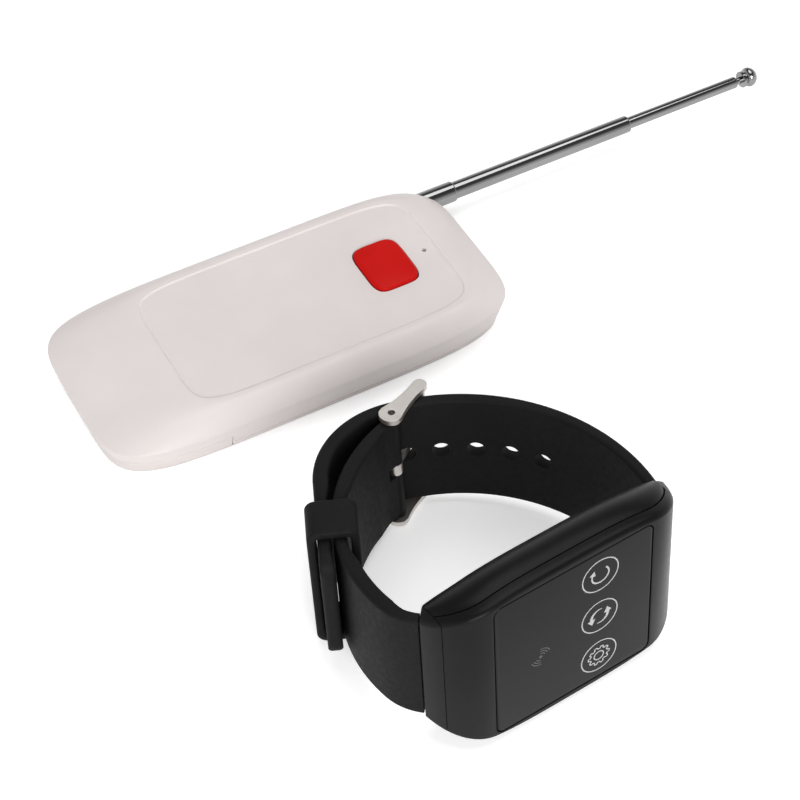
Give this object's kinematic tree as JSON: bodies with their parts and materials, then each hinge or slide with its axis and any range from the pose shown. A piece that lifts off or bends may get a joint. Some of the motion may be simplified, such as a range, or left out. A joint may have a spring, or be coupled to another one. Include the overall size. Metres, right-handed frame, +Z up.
{
  "type": "caregiver pager",
  "caption": "Caregiver pager: a flat crowned hand transmitter with a call button and telescopic antenna, and a square wrist receiver on a buckled strap that it calls",
  "frame": {"origin": "middle of the transmitter's flat underside, on the table", "axes": "+X along the transmitter towards the antenna's knob, +Y towards its far side, +Z up out of the call button; the wrist receiver stands on its edge on the -Y side"},
  "size_m": [0.1913, 0.1388, 0.0412],
  "materials": {
    "shell": "fine satin moulding",
    "button_red": "gloss",
    "dark_plastic": "satin",
    "board": "solder mask",
    "component_black": "moulded",
    "component_tan": "ceramic",
    "lens_clear": "clear",
    "zinc": "zinc plated",
    "contact_steel": "nickel plated",
    "battery_wrap": "printed wrap",
    "antenna_chrome": "polished",
    "watch_black": "satin",
    "watch_glass_dark": "smoked",
    "cell_silver": "foil",
    "gold": "gold plated",
    "strap_rubber": "fine grained",
    "buckle_steel": "satin"
  },
  "bodies": {
    "transmitter": {"front_shell": "shell", "rear_plate": "shell", "tact_switch": "contact_steel", "circuit_board": "board", "encoder_chip": "component_black", "saw_resonator": "contact_steel", "board_capacitors": "component_tan", "status_led": "lens_clear", "board_screws": "zinc", "battery": "battery_wrap", "battery_plate": "contact_steel", "battery_spring": "contact_steel", "antenna_base_tube": "antenna_chrome", "antenna_bracket": "zinc", "antenna_screw": "zinc", "case_screws": "zinc"},
    "battery_door": {"battery_cover": "shell"},
    "button": {"call_button": "button_red", "switch_plunger": "dark_plastic"},
    "antenna_middle": {"antenna_middle_tube": "antenna_chrome"},
    "antenna_inner": {"antenna_inner_tube": "antenna_chrome"},
    "antenna_tip": {"antenna_rod": "antenna_chrome", "antenna_knob": "antenna_chrome"},
    "wrist_receiver": {"watch_bezel": "watch_black", "watch_case": "watch_black", "watch_end_links": "watch_black", "watch_glass": "watch_glass_dark", "display_panel": "component_black", "watch_board": "board", "watch_cell": "cell_silver", "vibration_motor": "zinc", "watch_back": "watch_black", "back_screws": "zinc", "charge_contacts": "gold", "holed_strap": "strap_rubber", "buckle_strap": "strap_rubber", "strap_pins": "zinc", "buckle_pin": "buckle_steel"},
    "buckle": {"buckle_frame": "buckle_steel", "buckle_tongue": "buckle_steel"},
    "keeper": {"strap_keeper": "strap_rubber"}
  },
  "joints": [
    {"name": "button_press", "type": "slide", "parent": "transmitter", "child": "button", "axis": [0, 0, -1], "range_m": [0, 0.0005], "stiffness_N_per_m": 400},
    {"name": "battery_cover_slide", "type": "slide", "parent": "transmitter", "child": "battery_door", "axis": [-1, 0, 0], "range_m": [0, 0.03]},
    {"name": "antenna_middle_slide", "type": "slide", "parent": "transmitter", "child": "antenna_middle", "axis": [1, 0, 0], "range_m": [-0.045, 0]},
    {"name": "antenna_inner_slide", "type": "slide", "parent": "antenna_middle", "child": "antenna_inner", "axis": [1, 0, 0], "range_m": [-0.03, 0.0196]},
    {"name": "antenna_rod_slide", "type": "slide", "parent": "antenna_inner", "child": "antenna_tip", "axis": [1, 0, 0], "range_m": [0, 0.049]},
    {"name": "receiver_lift", "type": "slide", "parent": "transmitter", "child": "wrist_receiver", "axis": [0, 0, 1], "range_m": [0, 0.05]},
    {"name": "buckle_play", "type": "hinge", "parent": "wrist_receiver", "child": "buckle", "pos_m": [-0.00119, -0.05589, 0.01608], "axis": [-0.0076, 0.0872, 0.9962], "range_deg": [-1, 3]},
    {"name": "keeper_slide", "type": "slide", "parent": "wrist_receiver", "child": "keeper", "axis": [-0.407, -0.9102, 0.0766], "range_m": [-0.002, 0.002]}
  ]
}
